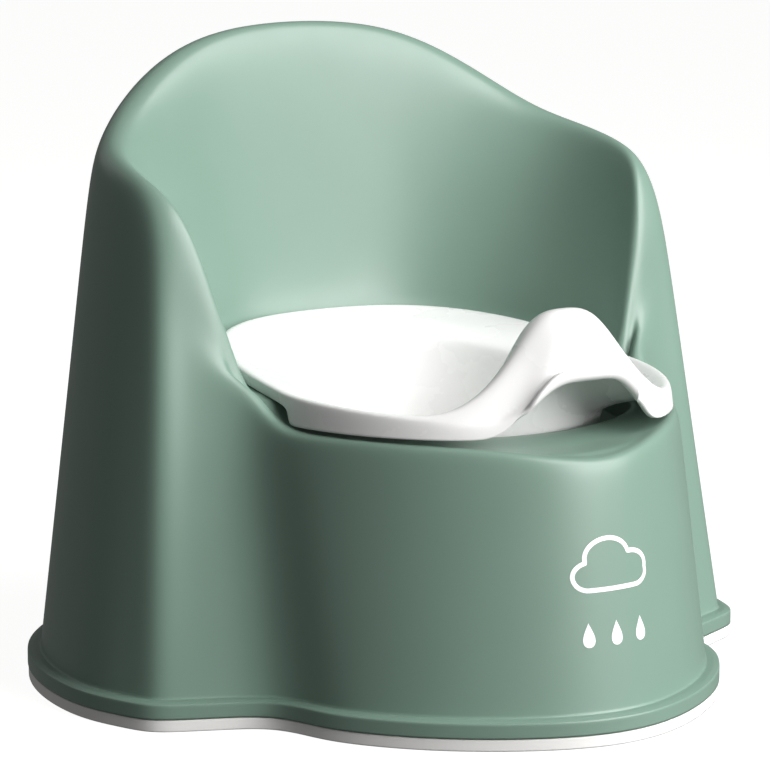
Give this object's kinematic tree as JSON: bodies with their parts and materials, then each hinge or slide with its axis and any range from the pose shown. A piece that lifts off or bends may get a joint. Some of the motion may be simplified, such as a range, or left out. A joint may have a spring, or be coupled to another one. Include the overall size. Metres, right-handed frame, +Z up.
{
  "type": "potty training chair",
  "caption": "One-piece plastic potty chair with a high backrest and arms, a lift-out inner potty with splash guard, and an anti-slip edging under the foot flange.",
  "frame": {"origin": "on the floor under the middle of the chair's bounding box", "axes": "+Z up, -Y the way the child faces, +X to the right of someone looking at the front of the chair"},
  "size_m": [0.3674, 0.3523, 0.3083],
  "materials": {
    "shell_green_pp": "satin-gloss moulded polypropylene",
    "potty_white_pp": "smooth moulded polypropylene",
    "edging_tpe": "matt soft elastomer"
  },
  "bodies": {
    "chair": {"chair_shell": "shell_green_pp", "edging_strip": "edging_tpe"},
    "potty": {"inner_potty": "potty_white_pp"}
  },
  "joints": [
    {"name": "potty_lift", "type": "slide", "parent": "chair", "child": "potty", "axis": [0, 0, 1], "range_m": [0, 0.13]}
  ]
}
